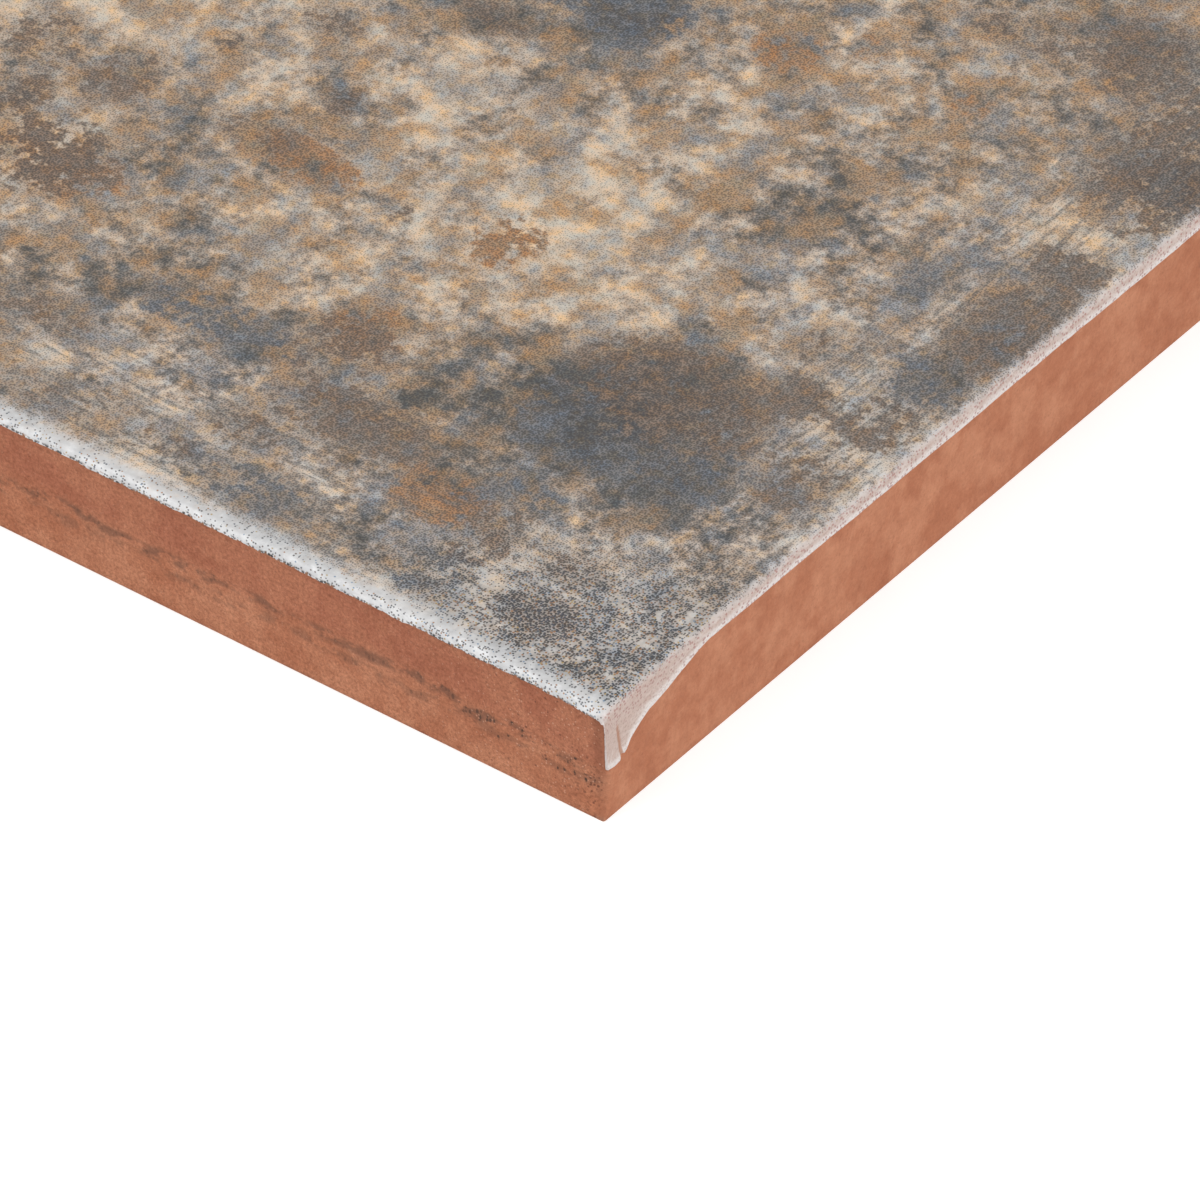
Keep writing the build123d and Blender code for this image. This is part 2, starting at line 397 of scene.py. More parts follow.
class Shell:
    """A closed mesh, collected from rings of points round the rim."""

    def __init__(self):
        self.core, self.normal = stations()
        self.points = np.zeros((0, 3))
        self.faces = []

    def plan(self, out):
        """Plan of the ring that stands this far out from the clay's side."""
        half = np.array([HALF_LENGTH, HALF_WIDTH])
        out = np.broadcast_to(np.asarray(out, float), len(self.core))[:, None]
        radius = np.maximum(CORNER_RADIUS + out, SHARPEST_CORNER)
        core = self.core * (half + out - radius) / (half - CORNER_RADIUS)
        return (core + self.normal * radius).T

    def inset(self, depth):
        """Plan of the ring that lies this far in from the clay's side, over the face."""
        x, y = self.plan(OVERHANG - SHOULDER_RADIUS)
        further = depth - SHOULDER_RADIUS + OVERHANG
        return x * (1 - further / HALF_LENGTH), y * (1 - further / HALF_WIDTH)

    def add(self, x, y, z):
        """Adds points and returns their numbers."""
        first = len(self.points)
        self.points = np.vstack([self.points, np.column_stack(np.broadcast_arrays(x, y, z))])
        return np.arange(first, len(self.points))

    def strip(self, ring, following):
        """Four-sided faces between two rings."""
        columns = [ring, np.roll(ring, -1), np.roll(following, -1), following]
        self.faces.extend(np.column_stack(columns).tolist())

    def fill(self, ring, pitch, margin, height, holes=(), clear=None):
        """Triangles inside a ring, over a lattice of this pitch, leaving holes open."""
        rings = [ring, *holes]
        edges, first = [], 0
        for loop in rings:
            edges += [(first + k, first + (k + 1) % len(loop)) for k in range(len(loop))]
            first += len(loop)
        low, high = self.points[ring].min(0) + margin, self.points[ring].max(0) - margin
        xs = np.linspace(low[0], high[0], round((high[0] - low[0]) / pitch) + 1)
        ys = np.linspace(low[1], high[1], round((high[1] - low[1]) / pitch) + 1)
        x, y = (g.ravel() for g in np.meshgrid(xs, ys))
        if clear:
            open_here = clear(x, y) > pitch / 3
            x, y = x[open_here], y[open_here]
        inner = self.add(x, y, height(x, y))
        numbers = np.concatenate([*rings, inner])
        flat = self.points[numbers][:, :2]
        result = delaunay_2d_cdt([Vector(p) for p in flat.tolist()], edges, [], 1, 1e-7, True)
        source = np.array([origin[0] for origin in result[3]])
        triangles = source[np.array(result[2])]
        if clear:
            centre = flat[triangles].mean(1)
            triangles = triangles[clear(centre[:, 0], centre[:, 1]) > 0]
        self.faces.extend(numbers[triangles].tolist())

    def build(self, name):
        """The finished object, in metres."""
        mesh = bpy.data.meshes.new(name)
        mesh.from_pydata((self.points * MM).tolist(), [], self.faces)
        work = bmesh.new()
        work.from_mesh(mesh)
        bmesh.ops.recalc_face_normals(work, faces=work.faces)
        work.to_mesh(mesh)
        work.free()
        mesh.polygons.foreach_set("use_smooth", [True] * len(mesh.polygons))
        mesh.set_sharp_from_angle(angle=math.radians(40))
        piece = bpy.data.objects.new(name, mesh)
        bpy.context.scene.collection.objects.link(piece)
        return piece


def cell_outline(grow):
    """Plan of a recess about its own centre, grown all round by this much."""
    steps = 5
    radius = CELL_RADIUS + grow
    points = []
    for side_x, side_y, start in [(1, 1, 0), (-1, 1, 90), (-1, -1, 180), (1, -1, 270)]:
        for k in range(steps + 1):
            angle = math.radians(start + 90 * k / steps)
            points.append((
                side_x * (CELL_LENGTH / 2 - CELL_RADIUS) + radius * math.cos(angle),
                side_y * (CELL_WIDTH / 2 - CELL_RADIUS) + radius * math.sin(angle),
            ))
    return np.array(points).T


def store(piece, name, kind, values):
    """Keeps a vector or four numbers for each point of a piece, for its material to read."""
    layer = piece.data.attributes.new(name, kind, "POINT")
    field = {"FLOAT_VECTOR": "vector", "FLOAT_COLOR": "color"}[kind]
    layer.data.foreach_set(field, np.ascontiguousarray(values, np.float32).ravel())


def clay_sides(shell):
    """The clay's textured sides, up from the bottom edge; returns the lowest and highest rings."""
    bottom = shell.add(*shell.plan(-BACK_ARRIS), 0.0)
    previous = bottom
    side_top = CLAY_TOP - ARRIS_RADIUS
    soft_height, foot_inset = 0.6, 0.02
    x, y = shell.plan(0.0)
    for k in range(SIDE_ROWS + 1):
        z = BACK_ARRIS + (side_top - BACK_ARRIS) * k / SIDE_ROWS
        z_here = z - corner_fall(x, y) * k / SIDE_ROWS
        relief = smooth(0.0, soft_height, z)
        out = clay_relief(x, y, z_here) * relief - foot_inset * (1 - relief)
        ring = shell.add(*shell.plan(np.minimum(out, OVERHANG * 0.4)), z_here)
        shell.strip(previous, ring)
        previous = ring
    return bottom, previous


def ribbed_back(shell, bottom):
    """The recesses of the back, and the ribs and the rim round them."""
    mouths = []
    for column in range(CELLS_ALONG):
        for row in range(CELLS_ACROSS):
            x0 = (column - (CELLS_ALONG - 1) / 2) * PITCH_X
            y0 = (row - (CELLS_ACROSS - 1) / 2) * PITCH_Y
            mouth_x, mouth_y = cell_outline(0.0)
            mouth = shell.add(x0 + mouth_x, y0 + mouth_y, 0.0)
            floor_x, floor_y = cell_outline(-CELL_DRAFT)
            floor = shell.add(x0 + floor_x, y0 + floor_y, CELL_DEPTH)
            shell.strip(mouth, floor)
            shell.faces.append(floor.tolist())
            mouths.append(mouth)
    shell.fill(bottom, 5.0, 2.0, lambda x, y: np.zeros_like(x), mouths, outside_cells)


def store_clay_places(piece, x, y, z):
    """Keeps where the long sides, the smudged line, the specks' corner and the ribs are."""
    _, ny = outward(x, y, SOFT_RIM)
    long_side = ny * ny * (z > 0.03) * (z < CLAY_TOP - ARRIS_RADIUS)
    line = along_points(HALF_LENGTH - np.abs(x), SCORE_LINE)
    to_corner = np.hypot(HALF_LENGTH - x, (z - 2.0) * 1.1)
    corner = ny * ny * smooth(3.0, 0.4, to_corner) * (y < 0) * 0.8
    inside = (HALF_LENGTH - np.abs(x) > BACK_ARRIS / 2) * (HALF_WIDTH - np.abs(y) > BACK_ARRIS / 2)
    ribs = inside * (z < CELL_DEPTH / 2)
    store(piece, "side", "FLOAT_COLOR", np.column_stack([long_side, z - line, corner, ribs]))


def make_clay():
    """The clay body: textured sides, a plain top under the glaze and a ribbed back."""
    shell = Shell()
    bottom, highest = clay_sides(shell)
    x, y = shell.plan(-ARRIS_RADIUS)
    top = shell.add(x, y, CLAY_TOP - corner_fall(x, y))
    shell.strip(highest, top)
    shell.fill(top, 6.0, 3.0, lambda x, y: CLAY_TOP - corner_fall(x, y))
    ribbed_back(shell, bottom)
    wear_corners(shell.points)
    piece = shell.build("tile_clay_body")
    store_clay_places(piece, *shell.points.T)
    return piece


def make_glaze():
    """The coat of glaze: ragged border, bead, skirt, run, shoulder and face."""
    shell = Shell()
    x, y = shell.plan(0.0)
    foot = glaze_foot(x, y)
    fall = corner_fall(x, y)
    shoulder_foot = FACE_TOP - SHOULDER_RADIUS - fall
    inner_top = shell.add(*shell.plan(-SINK), CLAY_TOP - SINK - fall)
    previous = shell.add(*shell.plan(-SINK), foot + 0.02)
    shell.fill(inner_top, 6.0, 3.0, lambda x, y: CLAY_TOP - SINK - corner_fall(x, y))
    shell.strip(inner_top, previous)
    for k in range(SKIRT_ROWS + 1):
        above = (shoulder_foot - foot) * (k / SKIRT_ROWS) ** 1.6
        out = glaze_stand(x, y, foot + above, above)
        ring = shell.add(*shell.plan(out), foot + above)
        shell.strip(previous, ring)
        previous = ring
    for k in range(1, SHOULDER_ROWS + 1):
        angle = math.radians(90 * k / SHOULDER_ROWS)
        rise = SHOULDER_RADIUS * math.sin(angle)
        plan_x, plan_y = shell.plan(out - SHOULDER_RADIUS * (1 - math.cos(angle)))
        blend = math.sin(angle) ** 4
        height = (shoulder_foot + rise) * (1 - blend) + face_height(plan_x, plan_y) * blend
        ring = shell.add(plan_x, plan_y, height)
        shell.strip(previous, ring)
        previous = ring
    for depth in FACE_RINGS:
        plan_x, plan_y = shell.inset(depth)
        ring = shell.add(plan_x, plan_y, face_height(plan_x, plan_y))
        shell.strip(previous, ring)
        previous = ring
    shell.fill(previous, 1.25, 0.9, face_height)
    piece = shell.build("tile_glaze")
    store_glaze_places(piece, *shell.points.T)
    return piece


def store_glaze_places(piece, x, y, z):
    """Keeps the unrolled place, the distances from the borders and the blotches on the glaze."""
    nx, ny = outward(x, y, SOFT_RIM)
    depth = np.maximum(FACE_TOP - 0.02 - corner_fall(x, y) - z, 0.0)
    depth *= smooth(1.2, 0.6, np.minimum(HALF_LENGTH - np.abs(x), HALF_WIDTH - np.abs(y)))
    sheet_x, sheet_y = x + nx * depth, y + ny * depth
    store(piece, "sheet", "FLOAT_VECTOR", np.column_stack([sheet_x, sheet_y, np.zeros_like(x)]))
    in_side = HALF_WIDTH + OVERHANG - np.abs(sheet_y)
    in_end = HALF_LENGTH + OVERHANG - np.abs(sheet_x)
    on_rim = np.hypot(*outward(x, y)) > 0.5
    above = np.where(on_rim, z - glaze_foot(x, y), 3.0)
    zone = np.column_stack([in_side, in_end, above, crease_share(x, y, z)])
    store(piece, "zone", "FLOAT_COLOR", zone)
    weights = blotch_weights(x, y)
    store(piece, "blotches", "FLOAT_VECTOR", np.column_stack(weights[:3]))
    to_corner = np.hypot((HALF_LENGTH - x) * 0.8, HALF_WIDTH + y)
    near_corner = smooth(SOFT_BEYOND, CRISP_WITHIN, to_corner)
    store(piece, "fields", "FLOAT_VECTOR", np.column_stack([*weights[3:], near_corner]))


def shown_in_photo(x, y):
    """True on the part of the face that the photo's frame takes in."""
    return all(a * x + b * y < c for a, b, c in FRAME_SIDES)


def all_blotches():
    """The listed blotches, and seeded ones of the same kinds over the rest of the face."""
    random = np.random.default_rng(7)
    kinds, shares = zip(*BLOTCH_SHARES.items())
    blotches = [(kind, *blotch) for kind, group in BLOTCHES.items() for blotch in group]
    for _ in range(SEEDED_BLOTCHES):
        kind = str(random.choice(kinds, p=shares))
        x = random.uniform(-HALF_LENGTH, HALF_LENGTH)
        y = random.uniform(-HALF_WIDTH, HALF_WIDTH)
        half_length = random.uniform(1.1, 2.6) * random.choice([1, 1, 1, 2.2])
        half_length *= 4 if kind in ("pale", "cool") else 1
        half_width = half_length * random.uniform(0.55, 1.1)
        strength = random.uniform(0.5, 1.0)
        if not shown_in_photo(x, y):
            blotches.append((kind, x, y, half_length, half_width, strength))
    return blotches


def blotch_weights(x, y):
    """How strong each kind of blotch is here, in the order of BLOTCHES."""
    weights = {kind: np.zeros_like(x) for kind in BLOTCHES}
    for kind, centre_x, centre_y, half_length, half_width, strength in all_blotches():
        away = np.hypot((x - centre_x) / half_length, (y - centre_y) / half_width)
        weights[kind] = np.maximum(weights[kind], strength * smooth(1.35, 0.45, away))
    return list(weights.values())


class Nodes:
    """Short names for the nodes that the materials are made of."""

    def __init__(self, name):
        self.material = bpy.data.materials.new(name)
        self.material.use_nodes = True
        self.tree = self.material.node_tree
        self.shader = self.tree.nodes["Principled BSDF"]

    def put(self, socket, value):
        """Links a socket to another, or sets its own value."""
        if isinstance(value, bpy.types.NodeSocket):
            self.tree.links.new(value, socket)
        elif socket.type == "RGBA":
            socket.default_value = (*value, 1.0)
        else:
            socket.default_value = value

    def node(self, kind, values=(), **settings):
        """A new node with these settings, and these values on its first sockets."""
        node = self.tree.nodes.new(kind)
        for name, setting in settings.items():
            setattr(node, name, setting)
        for socket, value in zip(node.inputs, values):
            self.put(socket, value)
        return node

    def attribute(self, name):
        """The node that reads what store() kept on the piece by this name."""
        return self.node("ShaderNodeAttribute", attribute_name=name)

    def parts(self, colour):
        """Red, green and blue of a colour."""
        return self.node("ShaderNodeSeparateColor", [colour]).outputs[:3]

    def placed(self, vector, scale, shift=(0, 0, 0)):
        """A vector with its axes scaled, then shifted."""
        return self.node("ShaderNodeMapping", [vector, shift, (0, 0, 0), scale]).outputs[0]

    def sum(self, a, b, c=0.0):
        """a + b + c."""
        total = self.node("ShaderNodeMath", [a, b], operation="ADD").outputs[0]
        return self.node("ShaderNodeMath", [total, c], operation="ADD").outputs[0]

    def times(self, a, b):
        """a times b."""
        return self.node("ShaderNodeMath", [a, b], operation="MULTIPLY").outputs[0]

    def larger(self, a, b):
        """The larger of a and b."""
        return self.node("ShaderNodeMath", [a, b], operation="MAXIMUM").outputs[0]

    def centred(self, noise, strength):
        """A noise about 0.5 turned into one about 0, with this strength."""
        values = [noise, strength, -strength / 2]
        return self.node("ShaderNodeMath", values, operation="MULTIPLY_ADD").outputs[0]

    def between(self, value, low, high, start=0.0, end=1.0):
        """An even S from start at low to end at high, flat outside."""
        values = [value, low, high, start, end]
        return self.node("ShaderNodeMapRange", values, interpolation_type="SMOOTHSTEP").outputs[0]

    def mix(self, share, a, b, blend="MIX"):
        """Colour a changing to colour b, or to b blended over a in the way that is named."""
        node = self.node("ShaderNodeMix", data_type="RGBA", blend_type=blend)
        for socket, value in zip((node.inputs[0], node.inputs[6], node.inputs[7]), (share, a, b)):
            self.put(socket, value)
        return node.outputs[2]

    def tinted(self, colour, tint):
        """A colour times a tint."""
        return self.mix(1.0, colour, tint, "MULTIPLY")

    def lightness(self, colour):
        """How light a colour is."""
        return self.node("ShaderNodeRGBToBW", [colour]).outputs[0]

    def texture(self, kind, vector, shift, values):
        """A texture node, moved along by a shift so that no two are alike."""
        node = self.node(kind)
        self.put(node.inputs["Vector"], self.placed(vector, (1, 1, 1), (shift, -shift, 0)))
        for name, value in values.items():
            node.inputs[name].default_value = value
        return node

    def noise(self, vector, scale, detail=2.0, roughness=0.5, shift=0.0, flat=True):
        """Noise about 0.5, with features one over scale wide."""
        values = {"Scale": scale, "Detail": detail, "Roughness": roughness}
        node = self.texture("ShaderNodeTexNoise", vector, shift, values)
        node.noise_dimensions = "2D" if flat else "3D"
        return node.outputs[0]

    def cells(self, vector, scale, shift=0.0, flat=True):
        """Distance from the middle of the nearest cell, and three random numbers of that cell."""
        node = self.texture("ShaderNodeTexVoronoi", vector, shift, {"Scale": scale, "Randomness": 0.85})
        node.voronoi_dimensions = "2D" if flat else "3D"
        return node.outputs["Distance"], self.parts(node.outputs["Color"])

    def ramp(self, value, stops, interpolation="LINEAR"):
        """Colours along a scale from 0 to 1."""
        node = self.node("ShaderNodeValToRGB", [value])
        node.color_ramp.interpolation = interpolation
        elements = node.color_ramp.elements
        for _ in stops[2:]:
            elements.new(1.0)
        for k, (place, colour) in enumerate(stops):
            elements[k].position = place
            elements[k].color = (*colour, 1.0)
        return node.outputs[0]

    def bump(self, height, depth):
        """Small relief, at most this many millimetres deep."""
        node = self.node("ShaderNodeBump")
        node.inputs["Distance"].default_value = depth * MM
        self.put(node.inputs["Height"], height)
        self.tree.links.new(node.outputs[0], self.shader.inputs["Normal"])


def print_colour(n, sheet, blotches, pale, cool):
    """The stone-like print without its dots: mottled cream, grey and brown with blotches."""
    broad = n.noise(sheet, 0.07, 3, 0.5, shift=3.1)
    mottle = n.noise(sheet, 0.42, 3, 0.55, shift=11.7)
    small = n.noise(sheet, 1.5, 2, 0.6, shift=5.3)
    grain = n.times(n.centred(small, 1.0), n.between(cool, 0.0, 1.0, 0.42, 0.8))
    tone = n.sum(n.centred(broad, 0.95), n.centred(mottle, 0.8), grain)
    colour = n.ramp(n.sum(tone, n.times(pale, 0.09), 0.51), PRINT_TONES)
    warm = n.noise(sheet, 0.34, 3, 0.58, shift=23.9)
    warmth = n.times(n.between(warm, 0.44, 0.68, 0.0, 0.8), n.between(cool, 0.0, 1.0, 1.0, 0.3))
    colour = n.mix(warmth, colour, OCHRE)
    bluish = n.noise(sheet, 0.26, 3, 0.58, shift=41.3)
    colour = n.mix(n.between(bluish, 0.46, 0.70, 0.0, 0.55), colour, BLUE_GREY)
    colour = n.mix(cool, colour, n.tinted(colour, COOL_TINT))
    depth = n.between(n.sum(n.centred(mottle, 1.0), n.centred(small, 1.1)), -0.36, 0.36, 0.4, 1.7)
    for share, full, uneven in zip(blotches, (RUST, SLATE, UMBER), (0.5, 1.0, 1.0)):
        rough = n.sum(n.centred(small, 2.4), n.centred(mottle, 2.4))
        ragged = n.sum(share, n.times(rough, n.between(share, 0.0, 0.4)))
        full = n.mix(uneven, full, n.tinted(full, depth))
        colour = n.mix(n.between(ragged, 0.05, 0.85, 0.0, 0.95), colour, full)
    return n.tinted(colour, n.ramp(n.noise(sheet, 0.9, 2, 0.6, shift=53.7), TINTS))


def stippled(n, sheet, colour, sparse, crisp):
    """Breaks a colour up into fine dots of several inks, with a few more where sparse is 1.

    Towards the light parts soft dots get smaller, and crisp dots get fewer.
    """
    away, (chance, ink, _) = n.cells(sheet, DOTS_SCALE)
    lightness = n.lightness(colour)
    smaller = n.sum(n.times(lightness, -0.55), 0.5, n.centred(chance, 0.22))
    there = n.between(n.sum(chance, n.times(lightness, 1.9), -1.2), 0.05, -0.05)
    fewer = n.times(there, n.sum(n.times(lightness, -0.35), 0.55))
    reach = n.between(crisp, 0.0, 1.0, smaller, fewer)
    few = n.between(n.sum(chance, n.times(sparse, -0.4)), -0.03, -0.13, 0.0, 0.42)
    reach = n.larger(reach, few)
    dot = n.between(n.sum(away, n.times(reach, -1.0)), 0.09, -0.09)
    gains = [
        n.ramp(lightness, [(place, (gain, gain, gain)) for place, gain in stops])
        for stops in (SOFT_GROUND, CRISP_GROUND)
    ]
    ground = n.tinted(colour, n.mix(crisp, *gains))
    ground = n.mix(n.between(crisp, 0.0, 1.0, 0.0, 0.5), ground, n.lightness(ground))
    inks = n.ramp(n.times(ink, n.between(lightness, 0.05, 0.25, 0.6, 1.0)), INKS, "CONSTANT")
    under = n.tinted(colour, n.mix(crisp, SOFT_DOT_SHADE, CRISP_DOT_SHADE))
    dots = n.mix(n.between(crisp, 0.0, 1.0, 0.16, 0.6), under, inks)
    return n.mix(dot, ground, dots)


def streaked(n, sheet, colour, in_side, in_end):
    """Faint dark lines near the rim of the print, each along its own edge of the face."""
    along_side = n.noise(n.placed(sheet, (0.25, 2.2, 1)), 1.0, 3, 0.6, shift=61.0)
    along_end = n.noise(n.placed(sheet, (2.2, 0.25, 1)), 1.0, 3, 0.6, shift=67.0)
    for lines, inward in ((along_side, in_side), (along_end, in_end)):
        share = n.times(n.between(inward, 14.0, 7.0), n.between(lines, 0.48, 0.66, 0.0, 0.6))
        colour = n.mix(share, colour, STREAK_GREY)
    return colour


def white_sides(n, sheet, in_end):
    """The bare glaze: clouded white, duller towards the ends."""
    cloudy = n.between(n.noise(sheet, 0.9, 3), 0.4, 0.62, 0.0, 0.7)
    white = n.mix(cloudy, WHITE_GLAZE, CLOUDED_GLAZE)
    return n.mix(n.between(in_end, 1.0, -0.1, 0.0, 0.8), white, END_GLAZE)


def pink_ends(n, sheet, colour, rough_edge, in_end, above, crease):
    """Thin pink glaze on the ends and the run, with a pale lower rim and dark red painted shade in the
    crease.
    """
    thin = n.noise(n.placed(sheet, (2.6, 0.8, 1)), 1.0, 4, 0.6, shift=83.0)
    pink = n.mix(n.between(thin, 0.35, 0.7), PINK_GLAZE, PALE_PINK)
    pink = n.mix(n.between(above, 0.7, 1.6, 0.0, 0.7), pink, PINK_GLAZE)
    on_skirt = n.between(n.sum(in_end, n.times(rough_edge, 0.3)), 0.3, -0.5, 0.0, 0.95)
    colour = n.mix(on_skirt, colour, pink)
    rim = n.times(n.between(above, 0.7, 0.25), n.between(in_end, 0.0, -0.3, 0.0, 0.8))
    colour = n.mix(rim, colour, BORDER_GLAZE)
    grain = n.ramp(n.noise(sheet, 6.0, 3, 0.7, shift=89.0), GLAZE_GRAIN)
    colour = n.mix(on_skirt, colour, n.tinted(colour, grain))
    # Painted shade in the crease between the run's lobes
    return n.mix(n.between(crease, 0.2, 0.8, 0.0, 0.85), colour, CREASE_SHADE)


def border_specks(n, sheet, colour, in_end, above):
    """Dark specks along the border on the long sides, and rosy ones high on the run."""
    away, (chance, ink, _) = n.cells(sheet, SPECKS_SCALE, shift=97.0)
    clumps = n.noise(sheet, 0.8, 2, 0.6, shift=101.0)
    near_border = n.times(n.between(above, 0.34, 0.14), n.between(in_end, 0.0, 0.5))
    dark_cell = n.between(n.sum(chance, n.times(clumps, -1.95)), 0.0, -0.2)
    specks = n.times(n.between(away, 0.56, 0.4), dark_cell)
    speck_ink = n.ramp(ink, SPECK_INKS, "CONSTANT")
    colour = n.mix(n.times(specks, near_border), colour, speck_ink)
    rosy = n.times(n.between(away, 0.44, 0.3), n.between(chance, 0.42, 0.34))
    high_on_run = n.times(n.between(in_end, -2.6, -0.7), n.between(in_end, 0.2, -0.2, 0.0, 0.75))
    return n.mix(n.times(rosy, high_on_run), colour, ROSY)


def glaze_material():
    """Satin glaze: the dotted print on the face, white at the sides and thin and pink on the ends."""
    n = Nodes("glaze")
    sheet = n.attribute("sheet").outputs["Vector"]
    zone = n.attribute("zone")
    in_side, in_end, above = n.parts(zone.outputs["Color"])
    crease = zone.outputs["Alpha"]
    blotches = n.parts(n.attribute("blotches").outputs["Color"])
    pale, cool, near_corner = n.parts(n.attribute("fields").outputs["Color"])

    rough_edge = n.centred(n.noise(sheet, 1.3, 4, 0.65, shift=71.0), 1.8)
    side_cover = n.between(n.sum(in_side, rough_edge), -0.5, 2.1)
    end_cover = n.between(n.sum(in_end, rough_edge), -0.75, 0.85)
    cover = n.times(side_cover, end_cover)
    white = white_sides(n, sheet, in_end)
    colour = streaked(n, sheet, print_colour(n, sheet, blotches, pale, cool), in_side, in_end)
    colour = n.mix(cover, white, colour)
    crisp = n.larger(near_corner, n.between(cover, 0.9, 0.3))
    sparse = n.times(n.between(cover, 0.6, 0.1), n.between(in_end, 0.0, 0.5))
    sparse = n.times(sparse, n.between(near_corner, 0.0, 1.0, 0.75, 1.2))
    colour = stippled(n, sheet, colour, sparse, crisp)
    colour = pink_ends(n, sheet, colour, rough_edge, in_end, above, crease)
    colour = border_specks(n, sheet, colour, in_end, above)

    n.put(n.shader.inputs["Base Color"], colour)
    soft = n.noise(sheet, 0.8, 3, 0.6, shift=113.0)
    n.put(n.shader.inputs["Roughness"], n.between(soft, 0.3, 0.7, 0.36, 0.52))
    n.bump(n.sum(soft, n.centred(n.noise(sheet, 5.0), 0.35)), 0.03)
    return n.material


def clay_colour(n, place, side, above_line, clouds, grain):
    """The fired clay's own colour, cloudy and grainy, redder above the smudged line."""
    cloudy = n.between(clouds, 0.36, 0.62)
    lower = n.mix(cloudy, *LOWER_CLAY)
    upper = n.mix(cloudy, *UPPER_CLAY)
    ragged = n.sum(above_line, n.centred(clouds, 3.0))
    colour = n.mix(n.times(side, n.between(ragged, -0.7, 0.9)), lower, upper)
    patches = n.ramp(n.noise(place, 1.1, 3, 0.6, shift=7.0, flat=False), CLAY_PATCHES)
    colour = n.tinted(colour, patches)
    grainy = n.tinted(colour, n.ramp(grain, CLAY_GRAIN))
    return n.mix(n.times(n.sum(side, 0.4), 0.7), colour, grainy)


def clay_material():
    """Fired red clay: redder above a smudged dotted line on the long sides, with fine grains."""
    n = Nodes("clay")
    position = n.node("ShaderNodeTexCoord").outputs["Object"]
    place = n.placed(position, (1 / MM, 1 / MM, 1 / MM))
    places = n.attribute("side")
    side, above_line, corner = n.parts(places.outputs["Color"])
    ribs = places.outputs["Alpha"]
    along, _, _ = n.node("ShaderNodeSeparateXYZ", [place]).outputs
    from_middle = n.node("ShaderNodeMath", [along], operation="ABSOLUTE").outputs[0]
    clouds = n.noise(place, 0.35, 4, 0.6, flat=False)
    grain = n.noise(place, 4.5, 5, 0.8, flat=False)
    colour = clay_colour(n, place, side, above_line, clouds, grain)

    # Painted shade: the long sides darken in a narrow strip towards each upright corner
    edge_shade = n.sum(from_middle, n.centred(clouds, 0.8))
    edge_shade = n.times(n.between(edge_shade, HALF_LENGTH - 1.1, HALF_LENGTH - 0.2, 0.0, 0.6), side)
    colour = n.mix(edge_shade, colour, EDGE_SHADE)
    near_end = n.between(from_middle, HALF_LENGTH - 15.0, HALF_LENGTH - 4.0, 0.3, 1.0)
    upper_line, lower_line = (0.0, 1.0, 0.0), (0.95, 0.6, 5.0)
    for drop, strength, shift in (upper_line, lower_line):
        line = n.sum(above_line, drop)
        colour = smudged(n, place, colour, side, line, strength, near_end, shift)
    on_side = n.times(n.between(side, 0.0, 1.0, 0.12, 0.6), near_end)
    colour = dotted(n, place, colour, DARK_GRAIN, 6.0, 0.06, on_side, 17.0)
    colour = dotted(n, place, colour, PALE_GRAIN, 6.5, 0.09, on_side, 29.0)
    colour = dotted(n, place, colour, CORNER_SPECK, 5.0, 0.5, corner, 37.0)
    rubbed = n.times(ribs, n.between(clouds, 0.35, 0.6, 0.15, 0.5))
    colour = n.mix(rubbed, colour, RUBBED_CLAY)

    n.put(n.shader.inputs["Base Color"], colour)
    n.shader.inputs["Roughness"].default_value = 0.9
    n.shader.inputs["Specular IOR Level"].default_value = 0.25
    n.bump(n.sum(grain, n.times(clouds, 0.6)), 0.05)
    return n.material


def smudged(n, place, colour, side, above_line, strength, near_end, shift):
    """A broken line of dark smudges and flecks along the long sides."""
    clumps = n.noise(n.placed(place, (0.75, 0.75, 1.4)), 0.9, 3, 0.6, shift=shift, flat=False)
    drift = n.noise(place, 0.3, flat=False, shift=shift + 1.0)
    wander = n.sum(above_line, n.centred(drift, 1.4))
    band = n.times(n.between(wander, -0.55, -0.1), n.between(wander, 0.55, 0.1))
    smear = n.times(n.times(band, side), n.between(clumps, 0.43, 0.57, 0.0, strength))
    colour = n.mix(n.times(smear, 0.6), colour, SMUDGE)
    tall = n.placed(place, (1, 1, 0.55))
    flecks = n.times(n.between(smear, 0.15, 0.6, 0.0, 0.85), near_end)
    return dotted(n, tall, colour, FLECK, 4.2, 0.45, flecks, shift + 3.0)


def dotted(n, place, colour, speck, scale, share, strength, shift):
    """Specks in this share of the cells, where scale is the cells per millimetre."""
    away, (chance, size, _) = n.cells(place, scale, shift, flat=False)
    reach = n.sum(away, n.centred(size, 0.2))
    there = n.times(n.between(reach, 0.5, 0.28), n.between(chance, share + 0.02, share - 0.02))
    return n.mix(n.times(there, strength), colour, speck)


def seen_rays(tree):
    """1 for rays from the camera and for those that mirror or pass light, 0 for the rest."""
    rays = tree.nodes.new("ShaderNodeLightPath")
    total = rays.outputs["Is Camera Ray"]
    for name in ("Is Glossy Ray", "Is Transmission Ray"):
        add = tree.nodes.new("ShaderNodeMath")
        add.operation = "MAXIMUM"
        tree.links.new(total, add.inputs[0])
        tree.links.new(rays.outputs[name], add.inputs[1])
        total = add.outputs[0]
    return total


def map_range(tree, value, limits):
    """A node that maps a value evenly from one range to another."""
    node = tree.nodes.new("ShaderNodeMapRange")
    tree.links.new(value, node.inputs["Value"])
    for name, limit in limits.items():
        node.inputs[name].default_value = limit
    return node


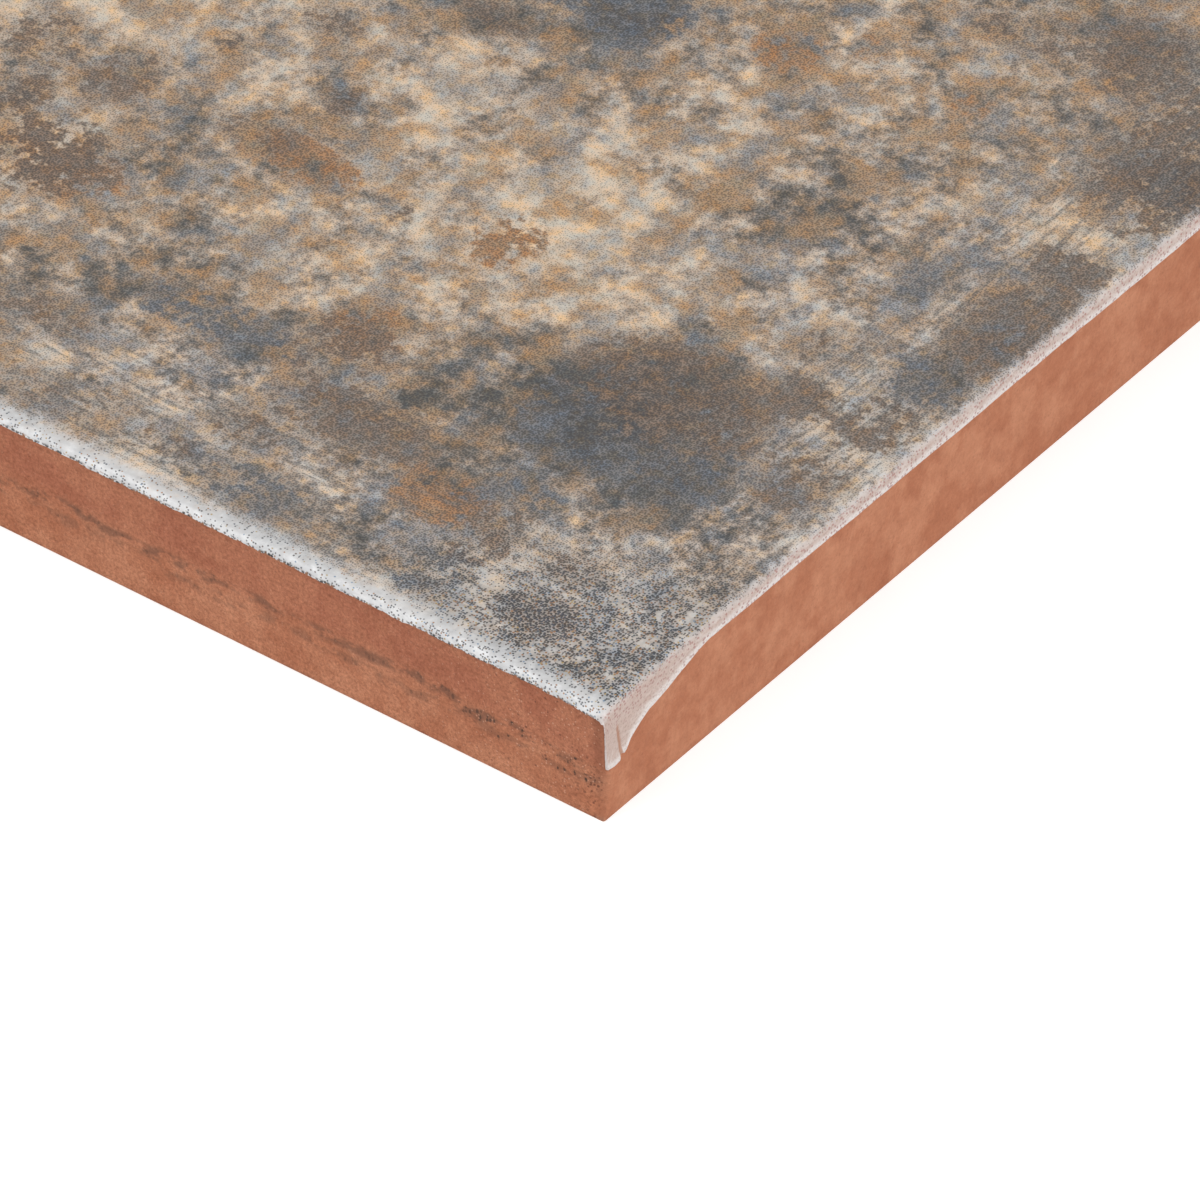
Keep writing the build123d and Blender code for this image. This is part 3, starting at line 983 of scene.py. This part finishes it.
def floor_material():
    """A pale matt ground with a glow for seen rays, which gets stronger away from the tile."""
    material = bpy.data.materials.new("floor")
    material.use_nodes = True
    tree = material.node_tree
    tree.nodes.clear()
    output = tree.nodes.new("ShaderNodeOutputMaterial")
    add = tree.nodes.new("ShaderNodeAddShader")
    diffuse = tree.nodes.new("ShaderNodeBsdfDiffuse")
    diffuse.inputs["Color"].default_value = (0.8, 0.8, 0.8, 1)
    glow = tree.nodes.new("ShaderNodeEmission")
    place = tree.nodes.new("ShaderNodeTexCoord")
    length = tree.nodes.new("ShaderNodeVectorMath")
    length.operation = "LENGTH"
    tree.links.new(place.outputs["Object"], length.inputs[0])
    glow_by_distance = {"From Min": 0.5, "From Max": 1.6, "To Min": 0.4, "To Max": 1.0}
    further = map_range(tree, length.outputs["Value"], glow_by_distance)
    strength = map_range(tree, seen_rays(tree), {})
    tree.links.new(further.outputs[0], strength.inputs["To Max"])
    tree.links.new(strength.outputs[0], glow.inputs["Strength"])
    tree.links.new(diffuse.outputs[0], add.inputs[0])
    tree.links.new(glow.outputs[0], add.inputs[1])
    tree.links.new(add.outputs[0], output.inputs[0])
    return material


def make_floor():
    """A pale floor that reads as white and keeps the tile's shadow."""
    bpy.ops.mesh.primitive_plane_add(size=12.0)
    floor = bpy.context.object
    floor.name = "floor"
    floor.data.materials.append(floor_material())


def make_world():
    """Even grey light, with white behind everything that the camera sees."""
    world = bpy.data.worlds.new("studio")
    bpy.context.scene.world = world
    world.use_nodes = True
    tree = world.node_tree
    tree.nodes.clear()
    output = tree.nodes.new("ShaderNodeOutputWorld")
    background = tree.nodes.new("ShaderNodeBackground")
    background.inputs["Color"].default_value = (1, 1, 1, 1)
    strength = map_range(tree, seen_rays(tree), {"To Min": 0.3, "To Max": 1.0})
    tree.links.new(strength.outputs[0], background.inputs["Strength"])
    tree.links.new(background.outputs[0], output.inputs[0])


def make_light(name, place, size, power):
    """A soft square light that faces the tile's middle."""
    data = bpy.data.lights.new(name, "AREA")
    data.size = size
    data.energy = power
    light = bpy.data.objects.new(name, data)
    light.location = place
    light.rotation_euler = (-Vector(place)).to_track_quat("-Z", "Y").to_euler()
    light.visible_camera = False
    bpy.context.scene.collection.objects.link(light)


def make_camera():
    """The photo's view: a long lens that looks down over the near corner."""
    azimuth, elevation = math.radians(37.38), math.radians(39.25)
    lens, sensor = 510.0, 36.0
    frame_width, frame_height = 1200.0, 1201.0  # pixels of the photo
    corner_pixel = (604.15, 823.37)  # where the photo shows the tile's lowest corner
    distance = 918.0
    right = Vector((math.cos(azimuth), math.sin(azimuth), 0))
    level = Vector((-math.sin(azimuth), math.cos(azimuth), 0))
    forward = level * math.cos(elevation) - Vector((0, 0, 1)) * math.sin(elevation)
    up = right.cross(forward)
    per_pixel = sensor / lens / frame_width * distance
    across = (corner_pixel[0] - frame_width / 2) * per_pixel
    down = (corner_pixel[1] - frame_height / 2) * per_pixel
    near_corner = Vector((HALF_LENGTH, -HALF_WIDTH, 0))
    data = bpy.data.cameras.new("camera")
    data.lens = lens
    data.sensor_width = sensor
    data.sensor_fit = "HORIZONTAL"
    data.clip_start = 0.05
    data.clip_end = 50.0
    camera = bpy.data.objects.new("camera", data)
    camera.location = (near_corner - right * across + up * down - forward * distance) * MM
    camera.rotation_euler = forward.to_track_quat("-Z", "Y").to_euler()
    bpy.context.scene.collection.objects.link(camera)
    bpy.context.scene.camera = camera


clay = make_clay()
clay.data.materials.append(clay_material())
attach(clay, "root")
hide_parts("clay_body")

glaze = make_glaze()
glaze.data.materials.append(glaze_material())
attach(glaze, "root")
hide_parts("glaze")

make_floor()
make_world()
make_light("key", (1.5, -0.5, 1.3), 1.0, 25.0)
make_light("fill", (-0.8, -1.5, 1.2), 1.2, 12.0)
make_light("overhead", (0.0, 0.3, 2.0), 1.5, 6.0)
make_camera()
bpy.context.scene.view_settings.view_transform = "Standard"
